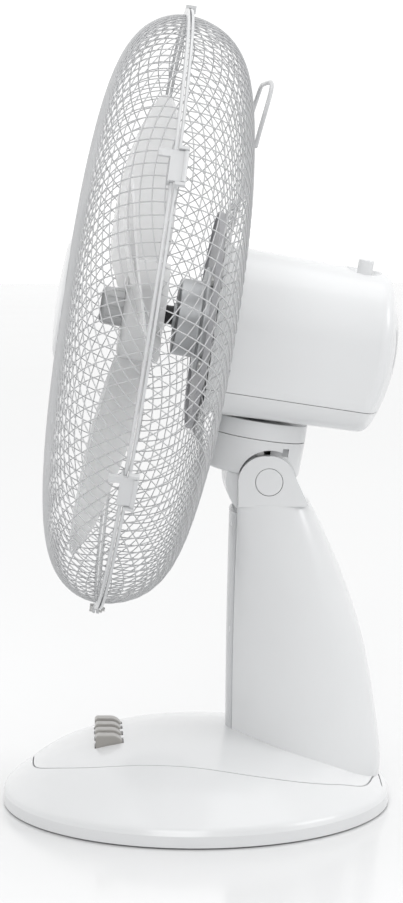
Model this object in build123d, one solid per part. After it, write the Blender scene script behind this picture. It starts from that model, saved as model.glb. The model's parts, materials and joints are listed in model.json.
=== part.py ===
from build123d import *
import math
import os

# Desk fan, 16 inch class. Millimetres. +Z up, the fan blows toward -Y, the base
# stands on Z = 0 with its centre at the origin.
# Head parts are drawn in the fan frame (X across, Y along the motor axis toward
# the back, Z radial up, origin at the guard rim's centre) and moved by head().

# driving dimensions
guard_radius = 215.0        # outside of the rim band
base_radius = 140.0
base_height = 55.0          # crown of the base dome
skin = 2.6                  # moulded wall
tilt_angle = 9.0            # head tipped up at rest
pivot_y = 50.0
pivot_z = 236.5
pivot_back = 106.0          # tilt pivot behind the rim plane
pivot_drop = 104.0          # tilt pivot below the motor axis
swivel_back = 96.0          # oscillation axis behind the rim plane
front_depth = 56.5
rear_depth = 60.5
guard_skin = 0.4            # shell that carries the guard wires
cheek_in = 26.2
cheek_out = 36.3
neck_radius = 34.0
knuckle_half = 25.6
drum_radius = 30.0
bolt_radius = 4.0
shaft_radius = 4.0
blade_radius = 186.0
blade_count = 3
blade_phase = 18.0          # degrees, where the first blade stands at rest
hub_radius = 36.0
cover_top = 56.0
cover_bottom = 62.0
cover_half = 57.0
cover_front = 50.0
cover_back = 184.0
cover_split = 44.0
key_count = 4
key_pitch = 18.4
key_width = 11.0
knob_x = 12.0
knob_y = 151.5
knob_radius = 5.5
crank_y = 142.4
crank_throw = 12.2
link_length = 49.0
link_pin_x = -20.0

os.makedirs("parts", exist_ok=True)


def save(name, shape):
    if isinstance(shape, (list, ShapeList)):
        shape = Compound(children=list(shape))
    solids = shape.solids()
    out = solids[0] if len(solids) == 1 else Compound(children=list(solids))
    out.label = name
    export_step(out, "parts/" + name + ".step")
    print(name, len(solids), round(sum(s.volume for s in solids) / 1000, 2))


def head(shape):
    return Pos(0, pivot_y, pivot_z) * Rot(-tilt_angle, 0, 0) * Pos(0, -pivot_back, pivot_drop) * shape


def rod(radius, start, end):
    a, b = Vector(*start), Vector(*end)
    d = b - a
    return Solid.make_cylinder(radius, d.length, Plane(origin=a, z_dir=d))


def block(x0, x1, y0, y1, z0, z1):
    return Pos((x0 + x1) / 2, (y0 + y1) / 2, (z0 + z1) / 2) * Box(x1 - x0, y1 - y0, z1 - z0)


def shifted(points, gap):
    # the same profile moved to its right-hand side by gap
    out = []
    for i, (u, v) in enumerate(points):
        a = points[max(i - 1, 0)]
        b = points[min(i + 1, len(points) - 1)]
        du, dv = b[0] - a[0], b[1] - a[1]
        n = math.hypot(du, dv)
        out.append((u + gap * dv / n, v - gap * du / n))
    return out


# ---------------------------------------------------------------- base
s = base_radius / 140.0
h = base_height / 55.0
dome = [(0, 55 * h), (20 * s, 54.5 * h), (40 * s, 53 * h), (60 * s, 49.9 * h), (80 * s, 45.5 * h),
        (95 * s, 40.8 * h), (106 * s, 36.2 * h), (115 * s, 30.8 * h), (124 * s, 24.4 * h),
        (131 * s, 19.2 * h), (136 * s, 15.2 * h), (139 * s, 11.6 * h)]


def dome_solid(gap):
    pts = shifted(dome, gap)
    pts[0] = (0, pts[0][1])
    edges = [Spline(*pts, tangents=[(1, 0), (0.35, -1)]), Line(pts[-1], (pts[-1][0], -20)),
             Line((pts[-1][0], -20), (0, -20)), Line((0, -20), pts[0])]
    return revolve(Plane.YZ * make_face(Curve() + edges), Axis.Z, 360)


dome_out = dome_solid(0)
dome_in = dome_solid(skin)
dome_seat = dome_solid(skin + 0.1)
dome_low = dome_solid(skin + 2.0)

panel_plan = [(0, -118.5), (20, -116), (40, -104), (61, -81), (73, -54), (81, -26), (88, 2),
              (93, 29), (91.5, 57), (81, 84), (65, 106), (45, 121), (22, 130), (0, 132.5)]


def plan_solid(grow):
    half = shifted([(x * s, y * s) for x, y in panel_plan], grow)
    half[0], half[-1] = (0, half[0][1]), (0, half[-1][1])
    right = Spline(*half, tangents=[(1, 0), (-1, 0)])
    left = Spline(*[(-x, y) for x, y in reversed(half)], tangents=[(-1, 0), (1, 0)])
    return extrude(Pos(0, 0, -30) * Face(Wire([right, left])), 120)


plan_cut = plan_solid(0.5)
plan_fit = plan_solid(-0.4)
plan_open = plan_solid(-9.0)
plan_ledge = plan_solid(3.0)

rim_r = base_radius
base_skirt = (dome_out - dome_in - plan_cut) & Pos(0, 0, 50) * Cylinder(rim_r + 5, 100)
rim_profile = [(139 * s, 11.6 * h), (140 * s, 9.0), (140 * s, 1.2), (137.2 * s, 1.2), (136.4 * s, 11.0)]
rim_band = revolve(Plane.YZ * make_face(Polyline(*rim_profile, close=True)), Axis.Z, 360)
low_cut = Pos(0, 0, 1.2 - 50) * Cylinder(rim_r + 10, 100)
base_skirt = base_skirt - low_cut
ledge = ((dome_in - dome_low) & plan_ledge) - plan_open - low_cut
boss_spots = [(118 * s * math.cos(math.radians(t)), 118 * s * math.sin(math.radians(t))) for t in (30, 150, 215, 325)]
bosses = [(Pos(x, y, 0) * Pos(0, 0, 34.4) * Cylinder(4.5, 60)) & dome_in for x, y in boss_spots]
base_shell = base_skirt + rim_band + ledge
for b in bosses:
    base_shell = base_shell + b
gland_dir = Vector(math.cos(math.radians(155)), math.sin(math.radians(155)), 0)
gland_at = gland_dir * (rim_r - 6)
gland_z = Vector(0, 0, 11.4)
gland_hole = rod(5.6, gland_at * 0.88 + gland_z, gland_at * 1.2 + gland_z)
for x, y in boss_spots:
    base_shell = base_shell - Pos(x, y, 12) * Cylinder(1.3, 20) - Pos(x, y, 0) * Cylinder(7, 9.0)
base_shell = base_shell - gland_hole - (plan_cut - dome_seat)
save("base_shell", base_shell)

gland = rod(5.5, gland_at * 0.90 + gland_z, gland_at * 1.09 + gland_z)
gland = gland + rod(6.4, gland_at * 0.90 + gland_z, gland_at * 0.925 + gland_z)
gland = gland - rod(3.1, gland_at * 0.8 + gland_z, gland_at * 1.3 + gland_z)
save("cord_gland", gland)

# keys, their openings and the switch block
key_xs = [(i - (key_count - 1) / 2) * key_pitch for i in range(key_count)]
key_y0, key_y1 = -73.5 * s, -54.0 * s
key_top = base_height - 0.5
column_screws_at = [(0, 31.5, 50.4), (-43, 84, 35.4), (43, 84, 35.4)]     # x, y, height under the panel
panel = ((dome_out - dome_in) & plan_fit) - base_shell
panel = max(panel.solids(), key=lambda piece: piece.volume)
for x in key_xs:
    panel = panel - block(x - key_width / 2 - 0.5, x + key_width / 2 + 0.5, key_y0 - 0.6, key_y1 + 0.6, 20, 80)
for x, y, z in column_screws_at:
    panel = panel - Pos(x, y, 50) * Cylinder(2.3, 100)
save("base_top_panel", panel)

plate_r = 135.0 * s
bottom = Pos(0, 0, 3.2) * Cylinder(plate_r, 2.0)
for x, y in boss_spots:
    bottom = bottom - Pos(x, y, 3.2) * Cylinder(1.6, 4)
save("base_bottom_plate", bottom)

screws = []
for x, y in boss_spots:
    screws.append(Pos(x, y, 9.5) * Cylinder(1.25, 15) + Pos(x, y, 1.5) * Cylinder(3.2, 1.4))
save("base_screws", screws)
feet = [Pos(0, 0, 1.1) * Cylinder(12, 2.2)]
for t in (0, 60, 120, 180, 240, 300):
    x, y = 122 * s * math.cos(math.radians(t)), 122 * s * math.sin(math.radians(t))
    feet.append(Pos(x, y, 1.1) * Cylinder(8, 2.2))
save("rubber_feet", feet)
weight = Pos(0, 0, 8.2) * (Cylinder(95 * s, 8) - Cylinder(30, 8) - Pos(0, -95, 0) * Box(90, 60, 8))
save("ballast_weight", weight)

switch = block(-40, 40, -79 * s, -48 * s, 16, 32)
for x in (-40.0, 40.0):
    switch = switch + (Pos(x, -63.5 * s, 40) * Cylinder(3.5, 60) & dome_in & Pos(0, 0, 66) * Box(300, 300, 100))
for x in key_xs:
    switch = switch - block(x - 2.65, x + 2.65, -68.15 * s, -59.35 * s, 21, 40)
save("switch_block", switch)

for i, x in enumerate(key_xs):
    prof = make_face(Curve() + [
        Line((key_y0, 41), (key_y0, key_top - 2.5)),
        ThreePointArc((key_y0, key_top - 2.5), (key_y0 + 0.75, key_top - 0.75), (key_y0 + 2.5, key_top)),
        Line((key_y0 + 2.5, key_top), (key_y0 + 11, key_top - 0.1)),
        Spline((key_y0 + 11, key_top - 0.1), (key_y0 + 15.8, key_top - 1.3), (key_y1, key_top - 5.0)),
        Line((key_y1, key_top - 5.0), (key_y1, 41)),
        Line((key_y1, 41), (key_y0, 41))])
    cap = Pos(x - key_width / 2, 0, 0) * extrude(Plane.YZ * prof, key_width)
    side = [e for e in cap.edges().filter_by(Plane.YZ) if e.center().Z > key_top - 4.5 and abs(e.length) > 2]
    cap = fillet(side, 1.0)
    cap = cap + block(x - 2.5, x + 2.5, -68 * s, -59.5 * s, 25.5, 42)
    save(("key_off", "key_one", "key_two", "key_three")[i], cap)

# ---------------------------------------------------------------- column
back = [(220, 80.6), (197, 92.3), (170, 103.8), (140, 114.8), (110, 122.8), (75, 129), (15, 133)]
top_half = [(27, 28.2), (33.6, 29.2), (36.0, 36), (36.3, 54), (33.4, 70), (20, 79), (0, 80.6)]
foot_half = [(13, 25.0), (19, 29.2), (39, 47), (53, 76), (47.5, 104), (21, 128), (0, 133)]


def column_section(z, y_back, inset):
    t = (y_back - 80.6) / (133 - 80.6)
    half = [(a[0] * (1 - t) + b[0] * t, a[1] * (1 - t) + b[1] * t) for a, b in zip(top_half, foot_half)]
    if inset:
        cy = (half[0][1] + y_back) / 2
        wide = max(p[0] for p in half)
        kx, ky = 1 - inset / wide, 1 - inset / ((y_back - half[0][1]) / 2)
        half = [(p[0] * kx, cy + (p[1] - cy) * ky) for p in half]
    around = half + [(-p[0], p[1]) for p in reversed(half[:-1])]
    edges = [Spline(*around), Line(around[-1], around[0])]
    return Pos(0, 0, z) * make_face(Curve() + edges), half[0]


def strip_section(z, y_back):
    t = (y_back - 80.6) / (133 - 80.6)
    w = (27 - 1.2) * (1 - t) + (13 - 0.6) * t
    y = 28.2 * (1 - t) + 25.0 * t
    edges = [ThreePointArc((-w, y - 0.9), (0, y - 3.9), (w, y - 0.9)), Line((w, y - 0.9), (w, y - 0.1)),
             Line((w, y - 0.1), (-w, y - 0.1)), Line((-w, y - 0.1), (-w, y - 0.9))]
    return Pos(0, 0, z) * make_face(Curve() + edges)


column = loft([column_section(z, y, 0)[0] for z, y in reversed(back)])
hollow_levels = [(190, 95.6)] + back[2:]
hollow = loft([column_section(z, y, skin)[0] for z, y in reversed(hollow_levels)])
hollow_foot = Pos(0, 0, -40) * extrude(column_section(0, 133, skin)[0], 56)
cheek_face = make_face(Curve() + [
    Line((28.2, 190), (28.2, pivot_z + 2)),
    ThreePointArc((28.2, pivot_z + 2), (35.0, pivot_z + 14.2), (pivot_y - 1.0, pivot_z + 18.4)),
    ThreePointArc((pivot_y - 1.0, pivot_z + 18.4), (61.5, pivot_z + 14.8), (68.0, pivot_z + 5.0)),
    Line((68.0, pivot_z + 5.0), (78.2, 219)),
    Line((78.2, 219), (78.2, 190)), Line((78.2, 190), (28.2, 190))])
cheeks = Pos(-cheek_out, 0, 0) * extrude(Plane.YZ * cheek_face, 2 * cheek_out)
column_top = column + (cheeks & Pos(0, 0, 219 + 50) * Box(200, 200, 100))
fork = rod(31.5, (-cheek_in, pivot_y, pivot_z), (cheek_in, pivot_y, pivot_z))
fork_gap = block(-cheek_in, cheek_in, 0, 120, pivot_z - 17, pivot_z + 60)
front_gap = block(-cheek_in, cheek_in, 0, 40, 213, 300)
column_shell = column_top - fork - fork_gap - front_gap - hollow - hollow_foot
column_shell = column_shell - rod(7, (0, 52, 180), (0, 52, 215))
for x, y, z in column_screws_at:
    column_shell = column_shell + (Pos(x, y, 50) * Cylinder(6.2, 50) & loft([column_section(z, yb, 0)[0] for z, yb in ((15, 133), (75, 129))]))
column_shell = column_shell - dome_out
for x, y, z in column_screws_at:
    column_shell = column_shell - Pos(x, y, z + 4) * Cylinder(1.9, 40)
bolt_bore = rod(bolt_radius + 0.02, (-60, pivot_y, pivot_z), (60, pivot_y, pivot_z))
column_shell = column_shell - bolt_bore
for sgn in (-1, 1):
    column_shell = column_shell - rod(9.95, (sgn * 28.6, pivot_y, pivot_z), (sgn * 60, pivot_y, pivot_z))
save("column_shell", column_shell)

strip = loft([strip_section(z, y) for z, y in reversed([(213, 83.6)] + back[1:])])
save("column_front_panel", strip - dome_out)

cscrews = []
for x, y, z in column_screws_at:
    cscrews.append(Pos(x, y, z + 10.5) * Cylinder(1.85, 23) + Pos(x, y, z - 1.5) * Cylinder(4.2, 3.0))
save("column_screws", cscrews)

bolt = rod(bolt_radius, (-32, pivot_y, pivot_z), (32.4, pivot_y, pivot_z)) + rod(8, (28.6, pivot_y, pivot_z), (32.4, pivot_y, pivot_z))
save("pivot_bolt", bolt)
nut = extrude(Plane(origin=(-28.6, pivot_y, pivot_z), z_dir=(-1, 0, 0)) * RegularPolygon(8, 6), 3.4) - bolt
save("pivot_nut", nut)
for sgn, name in ((1, "pivot_cap_right"), (-1, "pivot_cap_left")):
    cap = rod(9.6, (sgn * 32.6, pivot_y, pivot_z), (sgn * (cheek_out + 0.2), pivot_y, pivot_z))
    cap = fillet(cap.edges().filter_by(GeomType.CIRCLE).sort_by(Axis.X)[-1 if sgn > 0 else 0], 0.6)
    save(name, cap)
washers = [rod(13, (sgn * (knuckle_half + 0.05), pivot_y, pivot_z), (sgn * (cheek_in - 0.05), pivot_y, pivot_z)) - bolt_bore for sgn in (-1, 1)]
save("friction_washers", washers)

# ---------------------------------------------------------------- neck
neck_top, flange_low, neck_low = -cover_bottom - 1.0, -75.5, -102.0
upper = Pos(0, swivel_back, flange_low - 0.3) * Circle(neck_radius)
lower = Pos(0, swivel_back - 0.8, neck_low) * Circle(neck_radius)
neck = loft([lower, upper])
neck = fillet(neck.edges().sort_by(Axis.Z)[0], 4.0)
neck = neck - Pos(0, swivel_back, flange_low - 0.3 - 6) * Cylinder(neck_radius - 7, 12.01)
drum = rod(drum_radius, (-knuckle_half, pivot_back, -pivot_drop), (knuckle_half, pivot_back, -pivot_drop))
drum = drum & block(-40, 40, 60, pivot_back - 2, -160, neck_low + 6)
hub = rod(20, (-knuckle_half, pivot_back, -pivot_drop), (knuckle_half, pivot_back, -pivot_drop))
neck = neck + drum + hub
neck = neck - Pos(0, swivel_back, flange_low - 0.3 - 6) * Cylinder(neck_radius - 7, 12.01)
for sgn in (-1, 1):
    neck = neck - rod(22.2, (sgn * knuckle_half, pivot_back, -pivot_drop), (sgn * 60, pivot_back, -pivot_drop))
    neck = neck - block(min(sgn * knuckle_half, sgn * 60), max(sgn * knuckle_half, sgn * 60), pivot_back - 22.2, 160, -160, -pivot_drop)
    neck = neck - block(min(sgn * 22, sgn * 40), max(sgn * 22, sgn * 40), 112.6, 117.2, -85.6, -79.8)
neck = neck - rod(bolt_radius + 0.06, (-60, pivot_back, -pivot_drop), (60, pivot_back, -pivot_drop))
neck = neck - Pos(0, swivel_back - 12, -110) * Cylinder(5, 60)
save("neck_housing", head(neck))

flange = Pos(0, swivel_back, (neck_top + flange_low) / 2) * Cylinder(neck_radius, neck_top - flange_low)
flange = fillet(flange.edges().filter_by(GeomType.CIRCLE), 0.8)
flange = flange - Pos(0, swivel_back, flange_low + 4) * (Cylinder(neck_radius - 3, 8.02) - Cylinder(11, 8.02))
flange = flange - Pos(0, swivel_back, -70) * Cylinder(5.0, 40)
flange = flange - Pos(link_pin_x, swivel_back, -65) * Cylinder(3.0, 20)
save("neck_flange", head(flange))
post = Pos(0, swivel_back, -60) * Cylinder(5.0, 30.9)
save("swivel_post", head(post))
pin_c = Pos(link_pin_x, swivel_back, 0)
link_pin = pin_c * Pos(0, 0, (-67.4 - 42.2) / 2) * Cylinder(3.0, 67.4 - 42.2) + pin_c * Pos(0, 0, -40.6) * Cylinder(2.0, 3.4)
save("link_pin", head(link_pin))

# ---------------------------------------------------------------- link arm
crank_pin = (-12.0, crank_y + 2.0)
lx, ly = crank_pin[0] - link_pin_x, crank_pin[1] - swivel_back
arm_angle = math.degrees(math.atan2(ly, lx))
arm = Pos(link_pin_x, swivel_back, -40.7) * Rot(0, 0, arm_angle) * Pos(link_length / 2, 0, 0) * extrude(SlotCenterToCenter(link_length, 7), 1.3, both=True)
arm = arm - Pos(link_pin_x, swivel_back, -40.7) * Cylinder(2.05, 10)
arm = arm - Pos(crank_pin[0], crank_pin[1], -40.7) * Cylinder(1.7, 10)
save("link_arm", head(arm))

# ---------------------------------------------------------------- motor cover
def cover_solid(gap, y0, y1, round_radius):
    w, up, dn = cover_half - gap, cover_top - gap, cover_bottom - gap
    top_r, low_r = w * 0.93, 26.0 - gap * 0.5
    face = Plane.XZ * make_face(Curve() + [
        Line((-w, up - top_r), (-w, -dn + low_r)),
        ThreePointArc((-w, -dn + low_r), (-w + low_r * 0.2929, -dn + low_r * 0.2929), (-w + low_r, -dn)),
        Line((-w + low_r, -dn), (w - low_r, -dn)),
        ThreePointArc((w - low_r, -dn), (w - low_r * 0.2929, -dn + low_r * 0.2929), (w, -dn + low_r)),
        Line((w, -dn + low_r), (w, up - top_r)),
        ThreePointArc((w, up - top_r), (w - top_r * 0.2929, up - top_r * 0.2929), (w - top_r, up)),
        Line((w - top_r, up), (-w + top_r, up)),
        ThreePointArc((-w + top_r, up), (-w + top_r * 0.2929, up - top_r * 0.2929), (-w, up - top_r))])
    body = extrude(Pos(0, y0, 0) * face, -(y1 - y0), taper=1.3)
    ball = Pos(0, y1 - 128, -4) * Sphere(128)
    body = body & (ball + Pos(0, y0 - 40, 0) * Box(400, 2 * (y1 - 66 - y0 + 40), 400))
    rear = [e for e in body.edges() if e.center().Y > y1 - 40 and e.geom_type != GeomType.LINE and e.center().Y < y1 - 0.5]
    return fillet(rear, round_radius) if round_radius else body


cover_outer = cover_solid(0, cover_front, cover_back, 9)
cover_inner = cover_solid(skin, cover_front - 10, cover_back - skin, 6)
cover_all = cover_outer - cover_inner
dimple = Pos(knob_x, knob_y, 62) * Sphere(15.5)
thick_pad = Pos(knob_x, knob_y, 45) * Cylinder(17, 12) & cover_outer
cover_all = cover_all + thick_pad - dimple
cover_all = cover_all - Pos(knob_x, knob_y, 50) * Cylinder(knob_radius + 0.3, 40)
slots = None
for i in range(-4, 5):
    slot = Pos(i * 8.0, cover_back - 6, 2) * Box(3.0, 40, 46 - abs(i) * 5)
    slots = slot if slots is None else slots + slot
cover_all = cover_all - (slots & Pos(0, cover_back, 0) * Box(200, 60, 200))
swivel_hole = Pos(0, swivel_back, -cover_bottom) * Cylinder(25.0, 20)
top_part = cover_all & Pos(0, 100, 100 - cover_split + 0.2) * Box(300, 400, 200)
low_part = (cover_all & Pos(0, 100, -100 - cover_split - 0.2) * Box(300, 400, 200)) - swivel_hole
save("motor_cover", head(top_part))
save("motor_bottom_cover", head(low_part))

# ---------------------------------------------------------------- motor
bell_r = 38.0
nose_r = 27.5


def ring(r0, r1, y0, y1):
    out = rod(r1, (0, y0, 0), (0, y1, 0))
    return out - rod(r0, (0, y0 - 1, 0), (0, y1 + 1, 0)) if r0 else out


front_bell = ring(0, nose_r, 24, 44) + ring(0, bell_r, 41, 50)
front_bell = fillet([e for e in front_bell.edges().filter_by(GeomType.CIRCLE)
                     if (abs(e.center().Y - 24) < 0.1 or abs(e.center().Y - 41) < 0.1) and e.radius > nose_r - 1], 2)
front_bell = front_bell - ring(0, nose_r - 3, 28, 45) - ring(0, bell_r - 3, 44, 51)
front_bell = front_bell + ring(bell_r - 3, 47, 46.9, 50) + ring(0, 9, 22, 34)
front_bell = front_bell - ring(0, 6.5, 20, 36)
for t in range(0, 360, 45):
    front_bell = front_bell - Rot(0, t, 0) * Pos(0, 24, 16.5) * Box(6, 12, 8)
rear_bell = ring(0, bell_r, 80, 106) - ring(0, bell_r - 3, 79, 102.5) + ring(0, 9, 96, 108)
rear_bell = rear_bell - ring(0, 6.5, 90, 110)
boss = Pos(0, swivel_back, -49.525) * Cylinder(8.6, 26.85)
rear_bell = rear_bell + (boss - ring(0, bell_r - 3, 79, 102.5)) - Pos(0, swivel_back, -52) * Cylinder(5.06, 22.4)
save("motor_rear_bell", head(rear_bell))
save("front_bearing", head(ring(shaft_radius + 0.03, 6.5, 24, 34)))
save("rear_bearing", head(ring(shaft_radius + 0.03, 6.5, 98, 108)))
core = ring(20.2, bell_r, 50, 80)
for t in range(0, 360, 45):
    core = core - Rot(0, t + 22.5, 0) * Pos(0, 65, 26) * Box(9, 40, 11)
save("stator_core", head(core))
coils = [ring(21.5, 33, 44.3, 49.95), ring(21.5, 33, 80.05, 87)]
save("stator_windings", head(Compound(children=coils)))
rotor = ring(shaft_radius, 19.8, 50, 80)
save("rotor", head(rotor))
shaft = ring(0, shaft_radius, -20, 112) + ring(0, 2.5, 111, 160)
save("motor_shaft", head(shaft))
save("worm", head(ring(2.5, 4.2, 144, 159)))
tie = []
for t in (45, 135, 225, 315):
    c, q = 42.4 * math.cos(math.radians(t)), 42.4 * math.sin(math.radians(t))
    tie.append(rod(1.95, (c, 45, q), (c, 52.5, q)) + rod(3.6, (c, 43.6, q), (c, 45.35, q)))

# guard plate and its screws
plate = ring(bell_r + 0.1, 78, 45.4, 46.9)
plate = plate + ring(76.4, 78, 43.2, 46.9)
for t in (45, 135, 225, 315):
    c, q = 42.4 * math.cos(math.radians(t)), 42.4 * math.sin(math.radians(t))
    plate = plate - rod(2.2, (c, 40, q), (c, 60, q))
    front_bell = front_bell - rod(2.0, (c, 40, q), (c, 60, q))
save("motor_front_bell", head(front_bell))
save("guard_plate", head(plate))
save("guard_screws", head(Compound(children=tie)))

# ---------------------------------------------------------------- gearbox
gx0, gx1, gy0, gy1, gz0, gz1 = -16.0, 24.0, 126.0, 172.0, -28.0, 12.0
box = block(gx0, gx1, gy0, gy1, gz0, gz1) - block(gx0 + 2, gx1 - 2, gy0 + 2, gy1 - 2, gz0 + 2, gz1 + 1)
for sgn in (-1, 1):
    box = box + block(min(sgn * 14, sgn * 18), max(sgn * 14, sgn * 18), 106, gy0 + 0.5, -10, 10)
box = box - rod(3.0, (0, 120, 0), (0, 130, 0))
box = box - Pos(0, crank_y, gz0) * Cylinder(2.55, 10)
save("gearbox_housing", head(box))
lid = block(gx0, gx1, gy0, gy1, gz1, gz1 + 2) - Pos(knob_x, knob_y, gz1) * Cylinder(1.7, 10)
save("gearbox_lid", head(lid))
wheel = Pos(knob_x, knob_y, 0) * (Cylinder(7.7, 10) + Pos(0, 0, -8) * Cylinder(2.5, 28) + Pos(0, 0, -18) * Cylinder(3.05, 6))
wheel = wheel - Pos(knob_x, knob_y, 3) * Cylinder(1.6, 26)
save("worm_wheel", head(wheel))
crank = Pos(0, crank_y, -18) * Cylinder(11.9, 5) + Pos(0, crank_y, -24) * Cylinder(2.5, 13) + Pos(0, crank_y, -31.4) * Cylinder(15.4, 2.6)
crank = crank + Pos(crank_pin[0], crank_pin[1], -35.6) * Cylinder(1.5, 7.2)
save("crank_gear", head(crank))
cap_box = block(-30, -18, 108, 140, -12, 8)
save("run_capacitor", head(fillet(cap_box.edges().filter_by(Axis.Y), 2)))
knob = Pos(knob_x, knob_y, 52) * Cylinder(knob_radius, 18)
knob = fillet(knob.edges().filter_by(GeomType.CIRCLE).sort_by(Axis.Z)[-1], 1.2)
knob = knob + Pos(knob_x, knob_y, 23) * Cylinder(1.45, 42)
save("clutch_knob", head(knob))

# ---------------------------------------------------------------- blade
hub_part = ring(0, hub_radius, -14, 15) - ring(0, hub_radius - 2.2, -11, 16)
hub_part = fillet([e for e in hub_part.edges().filter_by(GeomType.CIRCLE) if abs(e.center().Y + 14) < 0.1], 5)
hub_part = hub_part + ring(0, 10, -13, 14) - ring(0, shaft_radius, -20, 20)
for t in range(0, 360, 60):
    hub_part = hub_part + (Rot(0, t, 0) * Pos(0, -2, 21) * Box(1.8, 22, 26) - ring(0, 9, -20, 20))


def blade_section(rad, chord, pitch, sag, thick, shift, ahead):
    c = chord / 2
    a = math.radians(pitch)

    def put(u, v):
        return (u * math.cos(a) - v * math.sin(a) + shift, u * math.sin(a) + v * math.cos(a) + ahead)
    m = thick / 2
    edges = [ThreePointArc(put(-c, -m), put(0, sag - m), put(c, -m)), Line(put(c, -m), put(c, m)),
             ThreePointArc(put(c, m), put(0, sag + m), put(-c, m)), Line(put(-c, m), put(-c, -m))]
    return Plane(origin=(rad, 0, 0), x_dir=(0, 0, 1), z_dir=(1, 0, 0)) * make_face(Curve() + edges)


def one_blade():
    sheet = loft([blade_section(30, 44, 34, 3, 2.6, 0, 1), blade_section(75, 92, 22, 6, 2.2, -4, 5),
                  blade_section(125, 128, 15.5, 7, 1.9, -6, 9), blade_section(190, 150, 12, 6, 1.6, -4, 11)])
    outline = Plane.XZ * make_face(Spline(
        (28, -24), (60, -40), (100, -60), (150, -66), (178, -48), (blade_radius, -8), (183, 22),
        (165, 46), (125, 53), (80, 40), (45, 27), (28, 24), (22, 0), periodic=True))
    cutter = extrude(outline, 100, both=True)
    wedge = sheet & cutter
    return wedge & (ring(hub_radius - 1.0, blade_radius, -60, 60))


blade = one_blade()
fan_blade = hub_part
for i in range(blade_count):
    fan_blade = fan_blade + Rot(0, -(blade_phase + i * 360 / blade_count), 0) * blade
save("fan_blade", head(fan_blade))
nose = ring(0, 13.5, -30, -14.05)
nose = fillet([e for e in nose.edges().filter_by(GeomType.CIRCLE) if abs(e.center().Y + 30) < 0.1], 4)
for t in range(0, 360, 30):
    c, q = 14.0 * math.cos(math.radians(t)), 14.0 * math.sin(math.radians(t))
    nose = nose - rod(1.3, (c, -26, q), (c, -10, q))
nose = nose - ring(0, shaft_radius, -20, -10)
save("blade_nut", head(nose))

# ---------------------------------------------------------------- guard
k = guard_radius / 215.0
f = front_depth / 56.5
q = rear_depth / 60.5
front_line = [(-1.6, 209.5), (-9 * f, 208.6), (-18 * f, 205.3), (-27 * f, 199.0), (-34.5 * f, 190), (-41 * f, 177),
              (-46.3 * f, 159), (-50.3 * f, 136), (-53.2 * f, 108), (-55 * f, 80), (-56 * f, 50), (-56.4 * f, 30)]
rear_line = [(1.6, 209.5), (10 * q, 208.4), (20 * q, 205.2), (30 * q, 199.5), (39 * q, 190.5), (46 * q, 178.5),
             (51.3 * q, 163), (55.2 * q, 145), (58.2 * q, 126), (60.2 * q, 110), (59.9 * q, 99), (56.5 * q, 89), (50.6 * q, 81), (48.2, 72), (48.2, 60)]
front_line = [(a, r * k) for a, r in front_line]
rear_line = [(a, r * k) for a, r in rear_line]


def guard_wall(line, side):
    inner = shifted(line, side * guard_skin)
    inner[0] = (inner[0][0], line[0][1])
    top = Spline(*line)
    low = Spline(*inner)
    edges = [top, Line(line[-1], inner[-1]), low, Line(inner[0], line[0])]
    return revolve(Plane.YZ * make_face(Curve() + edges), Axis.Y, 360)


front_mesh = guard_wall(front_line, -1)
rear_mesh = guard_wall(rear_line, 1)
save("front_mesh", head(front_mesh))
save("rear_mesh", head(rear_mesh))

rim0 = 209.5 * k
rim_half, rim_gap = 2.4, 0.4
front_rim = ring(rim0, guard_radius, -rim_half, -rim_gap)
rear_rim = ring(rim0, guard_radius, rim_gap, rim_half)
front_rim = fillet(front_rim.edges().filter_by(GeomType.CIRCLE).group_by(SortBy.RADIUS)[-1], 0.8)
rear_rim = fillet(rear_rim.edges().filter_by(GeomType.CIRCLE).group_by(SortBy.RADIUS)[-1], 0.8)


def at_rim(angle, shape):
    return Rot(0, -angle, 0) * Pos(guard_radius, 0, 0) * shape


front_rim = front_rim + (at_rim(90, block(-3, 2.2, -rim_half, 4.8, -6, 6) - block(-4, 0.25, -rim_gap, 3.2, -7, 7)) - ring(0, guard_radius + 0.1, -rim_gap, 3.2) - ring(0, rim0, -5, 10))
front_rim = front_rim + at_rim(-90, block(-1, 5.5, -rim_half, -rim_gap, -4.5, 4.5)) - ring(0, rim0, -5, 10)
rear_rim = rear_rim + at_rim(-90, block(-1, 5.5, rim_gap, rim_half, -4.5, 4.5)) - ring(0, rim0, -5, 10)
screw_bore = at_rim(-90, rod(1.55, (2.6, -10, 0), (2.6, 10, 0)))
clip_angles = (29, -29, 151, 209)
for t in clip_angles:
    ears = None
    for z in (-13.0, 13.0):
        ear = block(-1.5, 4.2, rim_gap, rim_half, z - 1.1, z + 1.1) + block(1.0, 4.2, rim_half - 0.1, 7.4, z - 1.1, z + 1.1)
        ears = ear if ears is None else ears + ear
    ears = ears + rod(0.8, (2.4, 5.8, -13.0), (2.4, 5.8, 13.0))
    rear_rim = rear_rim + at_rim(t, ears)
rear_rim = rear_rim - ring(0, rim0, -5, 0.31) - ring(0, rim0, -5, 5)
save("front_rim", head(front_rim - screw_bore))
save("rear_rim", head(rear_rim - screw_bore))
rim_screw = at_rim(-90, rod(1.5, (2.6, -3, 0), (2.6, 6.5, 0)) + rod(2.9, (2.6, -4.5, 0), (2.6, -rim_half, 0)))
save("rim_screw", head(rim_screw))
rim_nut = at_rim(-90, Plane(origin=(2.6, rim_half, 0), z_dir=(0, 1, 0)) * extrude(RegularPolygon(2.9, 6), 2.2)) - at_rim(-90, rod(1.5, (2.6, -3, 0), (2.6, 7, 0)))
save("rim_nut", head(rim_nut))

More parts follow.
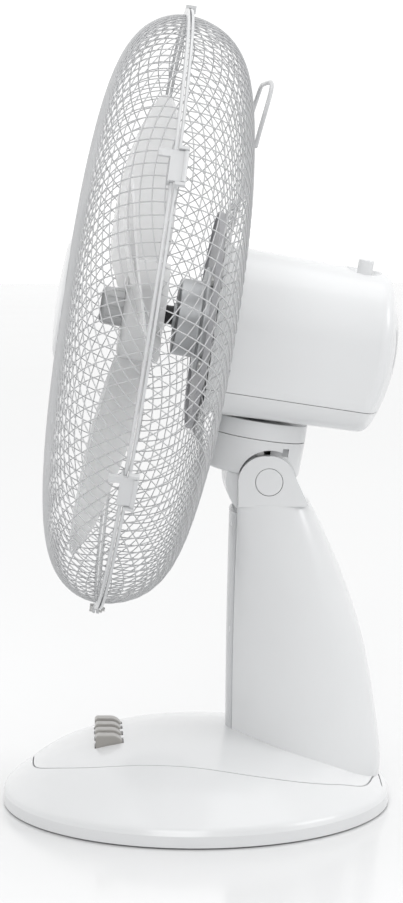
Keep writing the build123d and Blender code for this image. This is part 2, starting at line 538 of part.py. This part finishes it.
clip_names = ("rim_clip_a", "rim_clip_b", "rim_clip_c", "rim_clip_d")
for t, name in zip(clip_angles, clip_names):
    side = 1 if math.cos(math.radians(t)) > 0 else -1
    shell = block(0.3, 2.7, -4.2, 5.6, -11, 11) + block(-5.0, 2.7, -4.2, -2.8, -11, 11)
    shell = shell + block(0.3, 2.7, -12, -3.6, 11 * side - 5 * (1 + side) / 2, 11 * side + 5 * (1 - side) / 2)
    shell = shell - (Pos(-guard_radius, 0, 0) * ring(0, guard_radius + 0.25, -2.75, 10)) - (Pos(-guard_radius, 0, 0) * ring(0, rim0 + 0.4, -10, 10))
    shell = shell + rod(1.6, (2.4, 5.8, -11), (2.4, 5.8, 11)) - rod(0.86, (2.4, 5.8, -20), (2.4, 5.8, 20))
    save(name, head(at_rim(t, shell)))

badge_profile = [(-57.0 * f, 0), (-61.3 * f, 0), (-60.9 * f, 18), (-59.6 * f, 33), (-58.0 * f, 41), (-57.0 * f, 42.5)]
badge = revolve(Plane.YZ * make_face(Curve() + [Line(badge_profile[0], badge_profile[1]), Spline(*badge_profile[1:]), Line(badge_profile[-1], badge_profile[0])]), Axis.Y, 360)
badge = badge + ring(0, 6, -58 * f, -52 * f)
save("front_badge", head(badge))
retainer = ring(6.0, 50, -55.0 * f, -53.4 * f)
for t in (0, 120, 240):
    retainer = retainer + Rot(0, t, 0) * Pos(0, -53.6 * f, 51) * Box(6, 2.2, 6)
retainer = retainer - ring(0, 6.0, -60, -50) - guard_wall(front_line, -1)
save("badge_retainer", head(retainer))

# carry handle, a bent wire bail
w2 = 66 * k
half_bail = [(w2, 57.0, 127 * k), (w2 - 0.4, 58.6, 142 * k), (w2 - 2, 60.6, 157 * k), (w2 - 8, 61.9, 167 * k),
             (w2 - 20, 62.2, 171.4 * k), (w2 - 43, 62.3, 172.3 * k)]
bail = [(-x, y, z) for x, y, z in half_bail] + [(0, 62.3, 172.5 * k)] + list(reversed(half_bail))
path = Spline(*bail)
tube = sweep(Plane(origin=path @ 0, z_dir=path % 0) * Circle(1.5), path)
tube = tube + Pos(*bail[0]) * Sphere(1.5) + Pos(*bail[-1]) * Sphere(1.5) - guard_wall(rear_line, 1)
tube = max(tube.solids(), key=lambda piece: piece.volume)
save("carry_handle", head(tube))
print("done")
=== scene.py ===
import json
import math

import bpy
import numpy as np
from mathutils import Matrix, Vector


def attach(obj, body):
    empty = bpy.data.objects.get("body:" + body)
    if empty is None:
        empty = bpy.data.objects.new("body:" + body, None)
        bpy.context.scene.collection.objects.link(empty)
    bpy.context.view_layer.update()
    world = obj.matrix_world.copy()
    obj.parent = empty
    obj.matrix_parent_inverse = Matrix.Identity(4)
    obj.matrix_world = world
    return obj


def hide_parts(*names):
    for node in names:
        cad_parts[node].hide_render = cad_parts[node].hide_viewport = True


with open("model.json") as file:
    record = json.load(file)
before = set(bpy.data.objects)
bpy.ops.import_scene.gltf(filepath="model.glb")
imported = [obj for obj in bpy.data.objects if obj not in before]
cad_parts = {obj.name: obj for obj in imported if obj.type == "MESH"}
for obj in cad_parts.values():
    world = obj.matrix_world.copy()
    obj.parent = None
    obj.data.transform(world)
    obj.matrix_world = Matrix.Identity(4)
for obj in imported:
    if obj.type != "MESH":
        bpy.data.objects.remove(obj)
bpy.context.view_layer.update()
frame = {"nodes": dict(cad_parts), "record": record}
nodes = frame["nodes"]
print("frame loaded:", len(nodes), "CAD nodes")

# the head is tipped up at rest: x across, y back along the motor, z up, from the rim's centre
headPlace = {"tilt": 9.0, "pivotY": 0.050, "pivotZ": 0.2365, "pivotBack": 0.106, "pivotDrop": 0.104}
headFrame = (Matrix.Translation((0, headPlace["pivotY"], headPlace["pivotZ"]))
             @ Matrix.Rotation(math.radians(-headPlace["tilt"]), 4, "X")
             @ Matrix.Translation((0, -headPlace["pivotBack"], headPlace["pivotDrop"])))


class Signal:
    # one socket of a material; sums and products of signals become Math nodes
    def __init__(self, recipe, socket):
        self.recipe = recipe
        self.socket = socket

    def math(self, operation, first, second):
        return self.recipe.node("ShaderNodeMath", {"operation": operation}, {0: first, 1: second})

    def __add__(self, other):
        return self.math("ADD", self, other)

    def __radd__(self, other):
        return self.math("ADD", other, self)

    def __sub__(self, other):
        return self.math("SUBTRACT", self, other)

    def __rsub__(self, other):
        return self.math("SUBTRACT", other, self)

    def __mul__(self, other):
        return self.math("MULTIPLY", self, other)

    def __rmul__(self, other):
        return self.math("MULTIPLY", other, self)


class Recipe:
    def __init__(self, name):
        self.material = bpy.data.materials.new(name)
        self.material.use_nodes = True
        self.tree = self.material.node_tree
        self.tree.nodes.clear()

    def node(self, kind, settings=None, sockets=None, output=0):
        made = self.tree.nodes.new(kind)
        for key, value in (settings or {}).items():
            setattr(made, key, value)
        for key, value in (sockets or {}).items():
            if isinstance(value, Signal):
                self.tree.links.new(value.socket, made.inputs[key])
            else:
                made.inputs[key].default_value = value
        return Signal(self, made.outputs[output] if made.outputs else None)

    def noise(self, scale, detail=3.0, stretch=(1, 1, 1)):
        spot = self.node("ShaderNodeTexCoord", output=3)
        spot = self.node("ShaderNodeVectorMath", {"operation": "MULTIPLY"}, {0: spot, 1: stretch})
        return self.node("ShaderNodeTexNoise", {}, {"Vector": spot, "Scale": scale, "Detail": detail})

    def tint(self, amount, first, second):
        return self.node("ShaderNodeMix", {"data_type": "RGBA"},
                         {0: amount, 6: (*first, 1), 7: (*second, 1)}, output=2)

    def bump(self, height, strength, distance):
        return self.node("ShaderNodeBump", {}, {"Height": height, "Strength": strength, "Distance": distance})

    def finish(self, sockets):
        shader = self.node("ShaderNodeBsdfPrincipled", {}, sockets)
        self.node("ShaderNodeOutputMaterial", {}, {"Surface": shader})
        return self.material


def shade(colour, factor):
    return tuple(min(1.0, c * factor) for c in colour)


def mouldedPlastic(name, colour, gloss, grain=0.00004, coat=0.25, flow=0.05):
    # injection moulded: a faint cloudy flow in the colour, a fine orange peel, dull and shiny patches
    r = Recipe(name)
    cloud = r.noise(9.0, 2.0)
    peel = r.noise(420.0, 2.0)
    patch = r.noise(38.0, 4.0)
    return r.finish({
        "Base Color": r.tint(cloud, shade(colour, 1 - flow), shade(colour, 1 + flow)),
        "Roughness": gloss + 0.10 * (patch - 0.5),
        "Coat Weight": coat, "Coat Roughness": 0.12,
        "Normal": r.bump(peel, 0.25, grain)})


def paintedMetal(name, colour, gloss, pits=0.00006):
    # powder coat: fine pebbling and a slightly uneven sheen
    r = Recipe(name)
    pebble = r.noise(900.0, 3.0)
    uneven = r.noise(26.0, 3.0)
    return r.finish({
        "Base Color": r.tint(uneven, shade(colour, 0.95), shade(colour, 1.04)),
        "Roughness": gloss + 0.12 * (uneven - 0.5),
        "Normal": r.bump(pebble, 0.35, pits)})


def bareMetal(name, colour, gloss, grainStretch=(1, 1, 1), grainScale=600.0):
    # cast, turned or plated: bright metal with grain along the stretch and faint stains
    r = Recipe(name)
    grain = r.noise(grainScale, 3.0, grainStretch)
    stain = r.noise(45.0, 4.0)
    return r.finish({
        "Base Color": r.tint(stain, shade(colour, 0.82), shade(colour, 1.08)),
        "Metallic": 1.0,
        "Roughness": gloss + 0.18 * (grain - 0.5),
        "Normal": r.bump(grain, 0.4, 0.00008)})


def milkyBlade(name, colour, clear):
    # translucent blade plastic: cloudy, smooth, brighter where it is thin
    r = Recipe(name)
    cloud = r.noise(14.0, 3.0)
    swirl = r.noise(60.0, 2.0, (1, 0.3, 1))
    return r.finish({
        "Base Color": r.tint(cloud, shade(colour, 0.94), shade(colour, 1.05)),
        "Roughness": 0.24 + 0.10 * (swirl - 0.5),
        "Transmission Weight": clear, "IOR": 1.2,
        "Coat Weight": 0.3, "Coat Roughness": 0.1,
        "Normal": r.bump(swirl, 0.15, 0.00005)})


def softRubber(name, colour):
    r = Recipe(name)
    grit = r.noise(700.0, 4.0)
    dust = r.noise(30.0, 3.0)
    return r.finish({
        "Base Color": r.tint(dust, shade(colour, 0.8), shade(colour, 1.5)),
        "Roughness": 0.75 + 0.15 * (grit - 0.5),
        "Normal": r.bump(grit, 0.5, 0.0001)})


whiteColour = (0.73, 0.738, 0.745)
materials = {
    "white_shell": mouldedPlastic("shellWhite", whiteColour, 0.24),
    # the column's front strip is a darker grey than the shell: painted shade for its face turned away from the
    # light
    "grey_panel": mouldedPlastic("columnStripPaintedShade", (0.56, 0.572, 0.583), 0.26),
    "key_grey": mouldedPlastic("keyWarmGrey", (0.33, 0.318, 0.30), 0.34, coat=0.15),
    "guard_wire": paintedMetal("wireWhiteCoat", (0.54, 0.545, 0.553), 0.26),
    "rim_band": mouldedPlastic("rimWhite", (0.62, 0.627, 0.635), 0.28),
    "blade_clear": milkyBlade("bladeMilky", (0.94, 0.943, 0.947), 0.35),
    "nut_grey": mouldedPlastic("nutGrey", (0.50, 0.505, 0.51), 0.33),
    "bell_metal": bareMetal("bellCastAlloy", (0.50, 0.51, 0.52), 0.42),
    "plate_grey": paintedMetal("plateGrey", (0.36, 0.36, 0.375), 0.42),
    "zinc_steel": bareMetal("zincPlated", (0.58, 0.58, 0.57), 0.34),
    "core_steel": bareMetal("coreLaminations", (0.22, 0.225, 0.23), 0.5, (1, 30, 1), 120.0),
    "copper_wire": bareMetal("windingCopper", (0.62, 0.26, 0.12), 0.36, (1, 24, 1), 150.0),
    "gear_white": mouldedPlastic("gearNylon", (0.72, 0.70, 0.60), 0.45, coat=0.0),
    "box_black": mouldedPlastic("innerBlack", (0.022, 0.022, 0.025), 0.5, coat=0.0, flow=0.2),
    "foot_rubber": softRubber("footRubber", (0.02, 0.02, 0.022)),
    "ballast_iron": bareMetal("ballastIron", (0.13, 0.13, 0.135), 0.6, (1, 1, 1), 200.0),
    "washer_fibre": softRubber("washerFibre", (0.16, 0.09, 0.05)),
}
for part in frame["record"]["subparts"]:
    mesh = nodes[part["node"]].data
    mesh.materials.clear()
    mesh.materials.append(materials[part["material_slot"]])
print("materials made:", len(materials))


# the profiles run from the centre out to the rim: (along the motor axis, radius) in metres
guard = {
    "pitch": 0.0082, "wire": 0.00045, "sides": 6, "turn": 28.0, "shear": 62.0,
    "frontHole": 0.030,
    "front": [(-0.0565, 0), (-0.0564, 0.030), (-0.0560, 0.050), (-0.0550, 0.080), (-0.0532, 0.108),
              (-0.0503, 0.136), (-0.0463, 0.159), (-0.0410, 0.177), (-0.0345, 0.190), (-0.0270, 0.199),
              (-0.0180, 0.2053), (-0.0090, 0.2086), (-0.0016, 0.2095)],
    "rearHole": 0.060,
    "rear": [(0.0482, 0), (0.0482, 0.060), (0.0482, 0.072), (0.0506, 0.081), (0.0565, 0.089),
             (0.0599, 0.099), (0.0602, 0.110), (0.0582, 0.126), (0.0552, 0.145), (0.0513, 0.163),
             (0.0460, 0.1785), (0.0390, 0.1905), (0.0300, 0.1995), (0.0200, 0.2052), (0.0100, 0.2084),
             (0.0016, 0.2095)],
}


class Dome:
    # a surface of revolution, walked by the length along its profile and the angle round it
    def __init__(self, profile):
        points = np.array(profile, float)
        ends = np.vstack([2 * points[0] - points[1], points, 2 * points[-1] - points[-2]])
        fine = []
        for k in range(1, len(ends) - 2):
            p0, p1, p2, p3 = ends[k - 1:k + 3]
            for t in np.linspace(0, 1, 24, endpoint=False):
                fine.append(0.5 * (2 * p1 + (p2 - p0) * t + (2 * p0 - 5 * p1 + 4 * p2 - p3) * t * t
                                   + (3 * p1 - 3 * p2 + p3 - p0) * t ** 3))
        fine.append(points[-1])
        fine = np.array(fine)
        steps = np.hypot(*np.diff(fine, axis=0).T)
        self.lengths = np.concatenate([[0], np.cumsum(steps)])
        self.rim = self.lengths[-1]
        onward = (fine[-1] - fine[-2]) / steps[-1]  # beyond the rim the profile runs straight on
        self.lengths = np.append(self.lengths, self.rim + 0.06)
        self.profile = np.vstack([fine, fine[-1] + 0.06 * onward])

    def at(self, length, angle):
        along = np.interp(length, self.lengths, self.profile[:, 0])
        radius = np.interp(length, self.lengths, self.profile[:, 1])
        return np.array([radius * math.cos(angle), along, radius * math.sin(angle)])

    def crossing(self, first, second, guess, angleGuess, reach):
        # the point one pitch from both neighbours, found by Newton steps
        length, angle = guess, angleGuess
        step = 1e-5
        for _ in range(12):
            spot = self.at(length, angle)
            error = np.array([np.linalg.norm(spot - first) - reach, np.linalg.norm(spot - second) - reach])
            byLength = (self.at(length + step, angle) - spot) / step
            byAngle = (self.at(length, angle + step) - spot) / step
            slopes = np.array([[(spot - end) @ by / max(np.linalg.norm(spot - end), 1e-9)
                                for by in (byLength, byAngle)] for end in (first, second)])
            if abs(np.linalg.det(slopes)) < 1e-9:
                break
            change = np.linalg.solve(slopes, error)
            length -= float(np.clip(change[0], -reach, reach))
            angle -= float(np.clip(change[1], -0.5, 0.5))
        return length, angle


def pressedNet(dome, pitch):
    # square mesh pressed onto the dome: one quarter of its crossings, as (length, angle)
    count = int((dome.rim + 2 * pitch) / pitch)
    quarter = {}
    for k in range(count + 1):
        quarter[k, 0] = (k * pitch, 0.0)
        quarter[0, k] = (k * pitch, math.pi / 2)
    for i in range(1, count + 1):
        for j in range(1, count + 1):
            if (i - 1, j) not in quarter or (i, j - 1) not in quarter:
                continue
            west, south, corner = quarter[i - 1, j], quarter[i, j - 1], quarter[i - 1, j - 1]
            if min(west[0], south[0]) > dome.rim + 0.5 * pitch:
                continue
            first, second, back = (dome.at(*node) for node in (west, south, corner))
            ahead = first + second - back
            guess = west[0] + south[0] - corner[0]
            quarter[i, j] = dome.crossing(first, second, guess, math.atan2(ahead[2], ahead[0]), pitch)
    return quarter, count


def netRows(quarter, count):
    # whole rows of crossings from rim to rim, for one family of wires
    def crossingAt(i, j):
        for turn in range(4):
            if i >= 0 and j >= 0 and (i, j) in quarter:
                length, angle = quarter[i, j]
                return length, angle + turn * math.pi / 2
            i, j = j, -i
        return None

    rows = []
    for j in range(-count, count + 1):
        row = [crossingAt(i, j) for i in range(-count, count + 1)]
        rows.append([crossing for crossing in row if crossing])
    return rows


def trimmed(row, low, high):
    # the stretches of a row that lie between two lengths along the profile, cut exactly there
    pieces, current = [], []
    for here, after in zip(row, row[1:] + [None]):
        if low <= here[0] <= high:
            current.append(here)
        if after is None:
            break
        for edge in (low, high):
            if (here[0] - edge) * (after[0] - edge) < 0:
                t = (edge - here[0]) / (after[0] - here[0])
                turn = (after[1] - here[1] + math.pi) % (2 * math.pi) - math.pi
                current.append((edge, here[1] + t * turn))
        if not low <= after[0] <= high and current:
            pieces.append(current)
            current = []
    if current:
        pieces.append(current)
    return [piece for piece in pieces if len(piece) > 1]


def halved(row):
    out = [row[0]]
    for here, after in zip(row, row[1:]):
        turn = (after[1] - here[1] + math.pi) % (2 * math.pi) - math.pi
        middle = ((here[0] + after[0]) / 2, here[1] + turn / 2)
        out.append(middle if min(here[0], after[0]) > 0.012 else None)
        out.append(after)
    return [node for node in out if node]


def wireMesh(name, dome, low, turn, body, replaced):
    # the crossings are laid out on a round cap as long as the profile, which shears them as pressing does
    cap = dome.rim / math.radians(guard["shear"])
    arc = [math.radians(guard["shear"]) * k / 12 for k in range(13)]
    quarter, count = pressedNet(Dome([(cap * (1 - math.cos(a)), cap * math.sin(a)) for a in arc]), guard["pitch"])
    radius, sides = guard["wire"], guard["sides"]
    points, faces = [], []

    def addTube(line, lift, closed=False):
        start = len(points)
        spots = np.array([dome.at(*node) for node in line])
        if closed:
            tangents = np.roll(spots, -1, axis=0) - np.roll(spots, 1, axis=0)
        else:
            tangents = np.gradient(spots, axis=0)
        for node, spot, tangent in zip(line, spots, tangents):
            tangent = tangent / np.linalg.norm(tangent)
            slope = dome.at(node[0] + 1e-4, node[1]) - dome.at(node[0] - 1e-4, node[1])
            around = np.array([-math.sin(node[1]), 0, math.cos(node[1])])
            out = np.cross(slope, around)
            out = out / np.linalg.norm(out)
            side = np.cross(tangent, out)
            side = side / np.linalg.norm(side)
            out = np.cross(side, tangent)
            for k in range(sides):
                a = 2 * math.pi * k / sides
                points.append(spot + lift * out + radius * (math.cos(a) * out + math.sin(a) * side))
        last = len(line) if closed else len(line) - 1
        for n in range(last):
            here, after = start + n * sides, start + (n + 1) % len(line) * sides
            for k in range(sides):
                m = (k + 1) % sides
                faces.append((here + k, here + m, after + m, after + k))
        if not closed:
            faces.append(tuple(range(start + sides - 1, start - 1, -1)))
            faces.append(tuple(range(start + (len(line) - 1) * sides, start + len(line) * sides)))

    for family in (0, 1):
        lift = (0.85 if family else -0.85) * radius
        for row in netRows(quarter, count):
            shifted = [(length, angle + math.radians(turn) + family * math.pi / 2) for length, angle in row]
            for stretch in trimmed(shifted, low, dome.rim - 0.0004):
                addTube(halved(stretch), lift)
    for length in (low, dome.rim - 0.0006):
        if length > 0.01:
            addTube([(length, 2 * math.pi * k / 240) for k in range(240)], 0, closed=True)
    mesh = bpy.data.meshes.new(name)
    mesh.from_pydata([tuple(p) for p in points], [], faces)
    mesh.transform(headFrame)
    mesh.polygons.foreach_set("use_smooth", [True] * len(mesh.polygons))
    mesh.materials.append(materials["guard_wire"])
    piece = bpy.data.objects.new(name, mesh)
    bpy.context.scene.collection.objects.link(piece)
    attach(piece, body)
    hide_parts(replaced)
    print(name, "made:", len(points), "points")
    return piece


frontDome, rearDome = Dome(guard["front"]), Dome(guard["rear"])
wireMesh("frontWireMesh", frontDome, guard["frontHole"], guard["turn"], "head", "front_mesh")
wireMesh("rearWireMesh", rearDome, guard["rearHole"], guard["turn"], "head", "rear_mesh")

# a near-black ring on the shaft between hub and motor: painted shade for the gap there
gapShadeRing = {"radius": 0.0068, "front": 0.0162, "back": 0.0232, "bevel": 0.0008, "sides": 48}


def lathe(name, profile, sides):
    # profile: (along the motor axis, radius), from one end on the axis to the other
    points = [(radius * math.cos(2 * math.pi * k / sides), along, radius * math.sin(2 * math.pi * k / sides))
              for along, radius in profile for k in range(sides)]
    faces = [(row * sides + k, row * sides + (k + 1) % sides, (row + 1) * sides + (k + 1) % sides, (row + 1) * sides + k)
             for row in range(len(profile) - 1) for k in range(sides)]
    faces.append(tuple(range(sides - 1, -1, -1)))
    faces.append(tuple(range((len(profile) - 1) * sides, len(profile) * sides)))
    mesh = bpy.data.meshes.new(name)
    mesh.from_pydata(points, [], faces)
    mesh.transform(headFrame)
    piece = bpy.data.objects.new(name, mesh)
    bpy.context.scene.collection.objects.link(piece)
    return piece


def makeGapShadeRing():
    radius, front, back, bevel = (gapShadeRing[key] for key in ("radius", "front", "back", "bevel"))
    piece = lathe("shaftGapShadeRing", [(front, radius - bevel), (front + bevel, radius), (back - bevel, radius),
                                  (back, radius - bevel)], gapShadeRing["sides"])
    # near-black: paints the shade in the gap between hub and motor
    piece.data.materials.append(materials["box_black"])
    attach(piece, "spindle")


makeGapShadeRing()

# smooth shading on the CAD pieces, creases kept
for node in nodes.values():
    if not node.hide_render:
        node.data.polygons.foreach_set("use_smooth", [True] * len(node.data.polygons))
        node.data.set_sharp_from_angle(angle=math.radians(30))

studio = {
    "floor": (0.765, 0.768, 0.772), "floorSize": 14.0,
    "skyTowards": (-0.96, 0.0, 0.28), "skyDim": 0.52, "skyBright": 1.10,
    "lights": [
        # name, place, size, power, aimed at
        ("keySoftbox", (2.1, -0.5, 1.5), 1.4, 21.0, (0, 0, 0.30)),
        ("rearSoftbox", (0.6, 2.4, 1.5), 1.2, 16.0, (0, 0, 0.28)),
        ("topSoftbox", (-0.2, 0.2, 2.6), 2.0, 12.0, (0, 0, 0.3)),
    ],
}


def makeStudio():
    floorMesh = bpy.data.meshes.new("floor")
    half = studio["floorSize"] / 2
    corners = [(-half, -half, 0), (half, -half, 0), (half, half, 0), (-half, half, 0)]
    floorMesh.from_pydata(corners, [], [(0, 1, 2, 3)])
    floor = bpy.data.objects.new("floor", floorMesh)
    bpy.context.scene.collection.objects.link(floor)
    r = Recipe("floorPale")
    mottle = r.noise(2.0, 2.0)
    floorMesh.materials.append(r.finish({
        "Base Color": r.tint(mottle, shade(studio["floor"], 0.99), studio["floor"]),
        "Roughness": 0.10 + 0.05 * mottle}))
    for name, place, size, power, aim in studio["lights"]:
        lamp = bpy.data.lights.new(name, "AREA")
        lamp.shape, lamp.size, lamp.energy = "SQUARE", size, power
        holder = bpy.data.objects.new(name, lamp)
        holder.location = place
        holder.rotation_euler = (Vector(aim) - Vector(place)).to_track_quat("-Z", "Y").to_euler()
        bpy.context.scene.collection.objects.link(holder)


def makeSky():
    # a white room, bright on the far side and dim on the near side
    world = bpy.data.worlds.new("studioRoom")
    world.use_nodes = True
    links, made = world.node_tree.links, world.node_tree.nodes
    spot, towards = made.new("ShaderNodeTexCoord"), made.new("ShaderNodeVectorMath")
    towards.operation = "DOT_PRODUCT"
    towards.inputs[1].default_value = studio["skyTowards"]
    level = made.new("ShaderNodeMapRange")
    level.interpolation_type = "SMOOTHSTEP"
    for socket, value in (("From Min", -0.75), ("From Max", 0.75),
                          ("To Min", studio["skyDim"]), ("To Max", studio["skyBright"])):
        level.inputs[socket].default_value = value
    links.new(spot.outputs["Generated"], towards.inputs[0])
    links.new(towards.outputs["Value"], level.inputs["Value"])
    links.new(level.outputs["Result"], made["Background"].inputs["Strength"])
    made["Background"].inputs["Color"].default_value = (1, 1, 1, 1)
    bpy.context.scene.world = world


makeSky()
bpy.context.scene.view_settings.view_transform = "Standard"
makeStudio()
print("studio lit")

cameraPlace = {"spot": (1.7978, -0.0880, 0.4717), "aim": (0, 0.00393, 0.2544), "lens": 100.6}
lens = bpy.data.cameras.new("camera")
lens.sensor_width, lens.lens = 36.0, cameraPlace["lens"]
camera = bpy.data.objects.new("camera", lens)
camera.location = cameraPlace["spot"]
towardsFan = Vector(cameraPlace["aim"]) - Vector(cameraPlace["spot"])
camera.rotation_euler = towardsFan.to_track_quat("-Z", "Y").to_euler()
bpy.context.scene.collection.objects.link(camera)
bpy.context.scene.camera = camera
